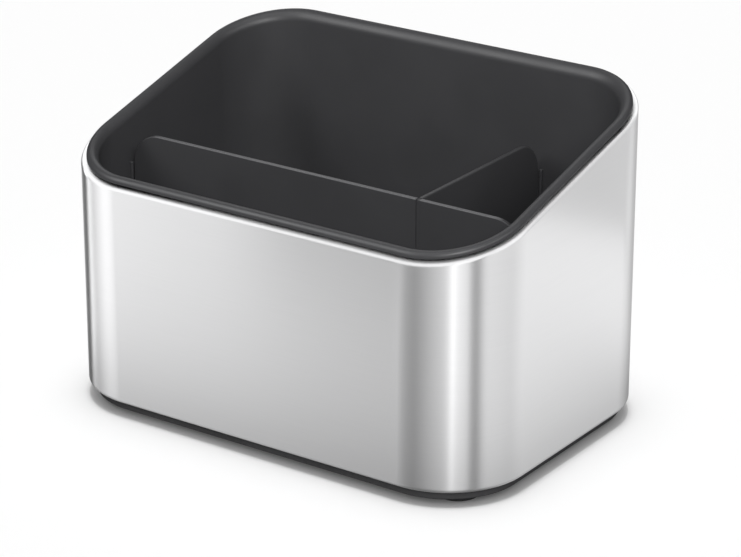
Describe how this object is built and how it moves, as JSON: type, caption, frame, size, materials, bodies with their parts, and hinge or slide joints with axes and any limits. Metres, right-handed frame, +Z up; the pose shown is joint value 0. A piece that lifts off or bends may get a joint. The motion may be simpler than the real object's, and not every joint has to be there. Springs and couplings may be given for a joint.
{
  "type": "kitchen sink caddy",
  "caption": "Free-standing sink caddy: brushed steel sleeve with a sloping top around a lift-out plastic bin, split by two lift-out dividers.",
  "frame": {"origin": "middle of the footprint, on the surface that the feet stand on", "axes": "+X across the width to the right, +Y from the low front to the high rear, +Z up"},
  "size_m": [0.185, 0.1264, 0.1242],
  "materials": {
    "brushed_steel": "satin stainless steel, fine brushed grain round the sleeve",
    "bin_plastic": "dark grey moulded plastic with a fine matt texture",
    "base_plastic": "dark grey moulded plastic, smooth matt",
    "foot_rubber": "matt black non-slip rubber"
  },
  "bodies": {
    "shell": {"outer_sleeve": "brushed_steel", "base_tray": "base_plastic", "foot_front_left": "foot_rubber", "foot_front_right": "foot_rubber", "foot_rear_left": "foot_rubber", "foot_rear_right": "foot_rubber"},
    "bin": {"inner_bin": "bin_plastic"},
    "long_panel": {"long_divider": "bin_plastic"},
    "cross_panel": {"cross_divider": "bin_plastic"}
  },
  "joints": [
    {"name": "bin_lift", "type": "slide", "parent": "shell", "child": "bin", "axis": [0, 0, 1], "range_m": [0, 0.12]},
    {"name": "long_divider_lift", "type": "slide", "parent": "bin", "child": "long_panel", "axis": [0, 0, 1], "range_m": [0, 0.095]},
    {"name": "cross_divider_lift", "type": "slide", "parent": "long_panel", "child": "cross_panel", "axis": [0, 0, 1], "range_m": [0, 0.115]}
  ]
}
